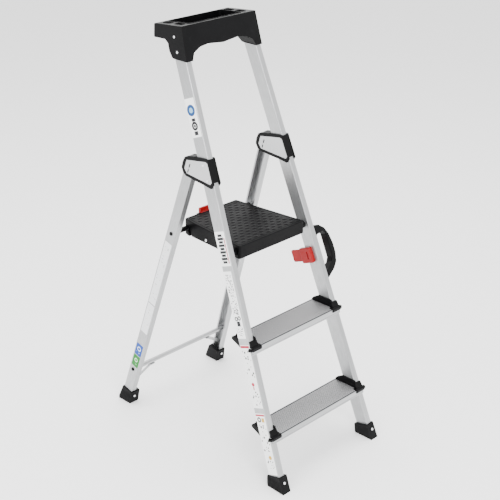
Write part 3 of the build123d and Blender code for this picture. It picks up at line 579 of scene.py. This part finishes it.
# %% Labels on the leg
print_label("leg_label_blue", leg_lean, [(draw_ring((0, 4), 7, 1.4), (0.75, 0.85, 0.92)),
                                         (draw_print((0, -6), (9, 8), (5.0, 5.0), 0.3), (0.7, 0.8, 0.9))],
            film=(0.001, 0.05, 0.30))
print_label("leg_label_green", leg_lean, [(draw_ring((0, 4), 6, 1.4), (0.6, 0.9, 0.6)),
                                          (draw_print((0, -8), (8, 7), (5.0, 5.0), 0.3), (0.5, 0.85, 0.5))],
            film=green_ink)
strip = [(draw_bar((0, -63), (16, 1.6)), (0.25, 0.25, 0.26)),
         (draw_print((0, 60), (11, 105), (16.0, 7.0), 0.26), (0.42, 0.425, 0.43)),
         (draw_print((0, -120), (11, 50), (16.0, 7.0), 0.26), (0.42, 0.425, 0.43))]
print_label("leg_label_strips", leg_lean, strip, film=(0.72, 0.73, 0.74))


# %% [markdown]
# ## New pieces
#
# What is too fine for the working model is added here as real geometry: studs, ribs and beads. One
# helper turns a bmesh into a finished piece that rides on a body of the ladder, so that it moves along
# when the ladder folds.

# %% Helper that finishes a bmesh
def finish_piece(mesh_data, name, body, material, smooth=True):
    """Makes an object from a bmesh, gives it a material and lets it ride on a body."""
    bmesh.ops.recalc_face_normals(mesh_data, faces=mesh_data.faces)
    data = bpy.data.meshes.new(name)
    mesh_data.to_mesh(data)
    mesh_data.free()
    for face in data.polygons:
        face.use_smooth = smooth
    data.materials.append(material)
    piece = bpy.data.objects.new(name, data)
    bpy.context.collection.objects.link(piece)
    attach(piece, body)
    print(name, len(data.polygons), "faces")


# %% [markdown]
# ### Studs on the platform
#
# The platform's top is moulded with low oval studs in staggered rows, so that a shoe grips it in every
# direction. One stud is a flattened sphere of a few faces, sunk half way into the deck. Copies are laid
# out by rows: every second row is shifted by half a pitch, and a row is as long as the tapering deck
# allows.

# %% Platform studs
deck_low, deck_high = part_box("platform_deck")
stud_pitch, row_pitch = 0.0262, 0.0155
stud_size = (0.0088, 0.0056, 0.0013)
front_band, rear_band, side_band = 0.020, 0.017, 0.016
front_half, rear_half = 0.1405, 0.111
deck_length = 0.2709
studs = bmesh.new()
row_count = int((deck_length - front_band - rear_band) / row_pitch) + 1
for row in range(row_count):
    row_place = front_band + row * row_pitch
    half = front_half + (rear_half - front_half) * row_place / deck_length - side_band
    shift = stud_pitch / 2 if row % 2 else 0.0
    count = int((half - shift) / stud_pitch)
    places = [shift + i * stud_pitch for i in range(count + 1)]
    places += [-x for x in places if x > 0.001]
    for x in places:
        spot = Matrix.Translation((middle_x + x, deck_low[1] + row_place, deck_high[2]))
        bmesh.ops.create_uvsphere(studs, u_segments=14, v_segments=8, radius=1.0,
                                  matrix=spot @ Matrix.Diagonal((*stud_size, 1.0)))
finish_piece(studs, "platform_studs", "platform", black_deck)


# %% [markdown]
# ### Ribs on the boots
#
# Each boot has upright ribs moulded on its outer side, which give a grip for pulling it off and stiffen
# the thin wall. A rib could be only a bump in the material, but it shows in the outline, so it is a small
# bar with bevelled edges. The side of the boot leans inwards with its leg, so each bar is sheared along:
# every point moves inwards by its height times the taper.

# %% Boot ribs
rib_pitch, rib_width, rib_proud, rib_sunk = 0.0055, 0.0022, 0.0007, 0.0012
rib_foot, rib_edge = 0.005, 0.0004


def boot_ribs(name, boot, hand, body, taper, lean, first_y, count, rise, top):
    """Ribs on a boot's outer side: hand is -1 at the left, rise is how far they lean back per metre."""
    low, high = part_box(boot)
    edge_x = low[0] if hand < 0 else high[0]
    edge_y = low[1] if lean > 0 else high[1]
    bars = bmesh.new()
    for number in range(count):
        y = first_y + number * rib_pitch
        bar_mesh = bmesh.ops.create_cube(bars, size=1.0)
        bmesh.ops.scale(bars, vec=(rib_proud + rib_sunk, rib_width, top - rib_foot), verts=bar_mesh["verts"])
        x = edge_x + hand * (rib_proud - rib_sunk) / 2
        bmesh.ops.translate(bars, vec=(x, y, (top + rib_foot) / 2), verts=bar_mesh["verts"])
    for vert in bars.verts:
        vert.co.y += rise * vert.co.z
        run = (vert.co.y - edge_y) * sin(lean) + vert.co.z * cos(lean)
        vert.co.x -= hand * taper * run
    bmesh.ops.bevel(bars, geom=bars.edges[:], offset=rib_edge, segments=1, profile=0.5, affect="EDGES",
                    material=-1)
    finish_piece(bars, name, body, black_rubber, smooth=False)


# %% Ribs for all four boots
front_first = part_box("foot_front_left")[0][1] + 0.0125
rear_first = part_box("foot_rear_left")[0][1] + 0.0155
for hand, word in ((-1, "left"), (1, "right")):
    boot_ribs(f"boot_ribs_front_{word}", f"foot_front_{word}", hand, "front_frame", stile_taper, stile_lean,
              first_y=front_first, count=9, rise=0.25, top=0.034)
    boot_ribs(f"boot_ribs_rear_{word}", f"foot_rear_{word}", hand, "rear_frame", leg_taper, leg_lean,
              first_y=rear_first, count=8, rise=-0.15, top=0.036)

# %% [markdown]
# ### Beads
#
# A moulded edge is seldom left sharp: a raised bead stiffens it and stops small things from rolling off.
# The tray has one around its recess and one around each tool slot. The platform has one around its studs,
# which shows where the safe area ends. All are made alike: four corners make a face, the corners are
# rounded, an inset leaves a ring, and the ring is raised and its top edges are bevelled. Last, each
# point is lifted to the surface it stands on, because the top of the tray slopes.

# %% A bead between four corners
bead_sunk, bead_edge_share = 0.0003, 0.4


def bead(name, corners, thickness, height, rounding, surface, body, material):
    """A raised ring along four corners: surface gives the height of what it stands on, at y."""
    ring_mesh = bmesh.new()
    ring_mesh.faces.new([ring_mesh.verts.new((x, y, 0.0)) for x, y in corners])
    bmesh.ops.bevel(ring_mesh, geom=ring_mesh.verts[:], offset=rounding, segments=5, profile=0.5,
                    affect="VERTICES", material=-1)
    rim = bmesh.ops.inset_region(ring_mesh, faces=ring_mesh.faces[:], thickness=thickness,
                                 use_boundary=True, use_even_offset=True)
    centre = [face for face in ring_mesh.faces if face not in rim["faces"]]
    bmesh.ops.delete(ring_mesh, geom=centre, context="FACES")
    raised = bmesh.ops.extrude_face_region(ring_mesh, geom=ring_mesh.faces[:])
    lifted = [item for item in raised["geom"] if isinstance(item, bmesh.types.BMVert)]
    bmesh.ops.translate(ring_mesh, vec=(0, 0, height), verts=lifted)
    ring_mesh.normal_update()
    top_edges = [edge for edge in ring_mesh.edges
                 if all(vert in lifted for vert in edge.verts)
                 and any(abs(face.normal.z) < 0.5 for face in edge.link_faces)]
    bmesh.ops.bevel(ring_mesh, geom=top_edges, offset=height * bead_edge_share, segments=2, profile=0.5,
                    affect="EDGES", material=-1)
    for vert in ring_mesh.verts:
        vert.co.z += surface(vert.co.y) - bead_sunk
    finish_piece(ring_mesh, name, body, material, smooth=False)


# %% Beads on the tray
tray_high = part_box("tool_tray")[1]
top_front_y, top_rear_y = front_y + 0.491, front_y + 0.610
top_drop = 0.010


def tray_top(y):
    """Height of the tray's sloping top at y."""
    return tray_high[2] - top_drop * (y - top_front_y) / (top_rear_y - top_front_y)


def rectangle(x, y, half_width, half_length):
    """Four corners about a middle."""
    return [(x - half_width, y - half_length), (x + half_width, y - half_length),
            (x + half_width, y + half_length), (x - half_width, y + half_length)]


bead("tray_recess_bead", rectangle(middle_x, front_y + 0.551, 0.1065, 0.0485), 0.0022, 0.0016, 0.009,
     tray_top, "front_frame", black_plastic)
slot_x, slot_rows = 0.122, (0.527, 0.577)
slot_places = [(hand * slot_x, row) for hand in (-1, 1) for row in slot_rows]
for number, (x, y) in enumerate(slot_places):
    bead(f"tray_slot_bead_{number}", rectangle(middle_x + x, front_y + y, 0.0097, 0.0167), 0.0014, 0.0012,
         0.005, tray_top, "front_frame", black_plastic)

# %% The bead on the platform
edge = 0.0075
ahead, behind = deck_low[1] + edge, deck_low[1] + deck_length - edge
deck_corners = [(middle_x - front_half + edge, ahead), (middle_x + front_half - edge, ahead),
                (middle_x + rear_half - edge, behind), (middle_x - rear_half + edge, behind)]
bead("platform_border_bead", deck_corners, 0.0014, 0.0011, 0.006, lambda y: deck_high[2], "platform",
     black_deck)

# %% [markdown]
# ## Floor
#
# The ladder stands on a wide plain floor. It is nearly white and dull, so that it only catches soft
# shadows round the feet and bounces light back up under the treads.

# %% Floor
floor_reach = 12.0
floor_mesh = bmesh.new()
bmesh.ops.create_grid(floor_mesh, x_segments=1, y_segments=1, size=floor_reach)
floor_data = bpy.data.meshes.new("floor")
floor_mesh.to_mesh(floor_data)
floor_mesh.free()
floor_material, floor_tree = new_material("floor_paint")
floor_space = leaning_space(floor_tree)
floor_grain = use_group(floor_tree, "grain", Coordinates=floor_space, Fineness=40.0)
floor_tone = colour_between(floor_tree, floor_grain.outputs["Tone"], (0.90, 0.90, 0.90), (0.92, 0.92, 0.92))
feed(floor_tree, shader_of(floor_tree), Roughness=0.7, Base_Color=floor_tone)
floor_data.materials.append(floor_material)
floor = bpy.data.objects.new("floor", floor_data)
bpy.context.collection.objects.link(floor)
print("floor reaches", floor_reach, "m each way")

# %% [markdown]
# ## Light
#
# Aluminium shows its surroundings, so a bright even world does most of the work. Three large lamps give
# it direction: a key light from the front left for the stiles' faces, a fill from the left, and a wide
# lamp overhead for the treads, the platform and the floor. Large lamps make soft shadows.

# %% Lights
world = bpy.data.worlds.new("studio")
bpy.context.scene.world = world
world.use_nodes = True
background = world.node_tree.nodes["Background"]
background.inputs["Color"].default_value = (1.0, 1.0, 1.0, 1.0)
background.inputs["Strength"].default_value = 2.1


def soft_light(name, place, target, size, power):
    """A square lamp of a size in metres and a power in watts, which faces the target."""
    lamp = bpy.data.lights.new(name, "AREA")
    lamp.energy, lamp.size = power, size
    stand = bpy.data.objects.new(name, lamp)
    stand.location = place
    stand.rotation_mode = "QUATERNION"
    stand.rotation_quaternion = (Vector(target) - Vector(place)).to_track_quat("-Z", "Y")
    bpy.context.collection.objects.link(stand)
    print(name, "light of", power, "W,", round((Vector(target) - Vector(place)).length, 2), "m away")


aim = (0.0, 0.0, 0.6)
soft_light("key", (-1.6, -3.0, 2.6), aim, 1.8, 150.0)
soft_light("fill", (-3.0, 0.4, 1.8), aim, 2.2, 50.0)
soft_light("top", (0.3, 0.6, 3.8), aim, 3.0, 190.0)

# %% [markdown]
# ## Camera
#
# The camera stands in front and to the left, two metres up, and looks a little down. A long lens from
# far away keeps the stiles nearly parallel. Its directions are built from an azimuth, an elevation and a
# very small roll: back points from the ladder to the camera, right is level, and up is square to both.

# %% Camera
to_the_left, in_front, eye_height = 2.2682, 1.8816, 2.0723
camera_place = Vector((middle_x - to_the_left, front_y - in_front, eye_height))
azimuth, elevation, roll = radians(-45.34), radians(24.58), radians(0.36)
back = Vector((sin(azimuth) * cos(elevation), -cos(azimuth) * cos(elevation), sin(elevation)))
right = Vector((cos(azimuth), sin(azimuth), 0.0))
up = back.cross(right)
tilted_right = cos(roll) * right + sin(roll) * up
tilted_up = cos(roll) * up - sin(roll) * right
camera_data = bpy.data.cameras.new("camera")
camera_data.lens = 81.85
camera_data.sensor_width = 36.0
camera = bpy.data.objects.new("camera", camera_data)
camera.location = camera_place
camera.rotation_mode = "QUATERNION"
camera.rotation_quaternion = Matrix((tilted_right, tilted_up, back)).transposed().to_quaternion()
bpy.context.collection.objects.link(camera)
bpy.context.scene.camera = camera
print("camera at", [round(v, 3) for v in camera_place], "with a lens of", camera_data.lens, "mm")
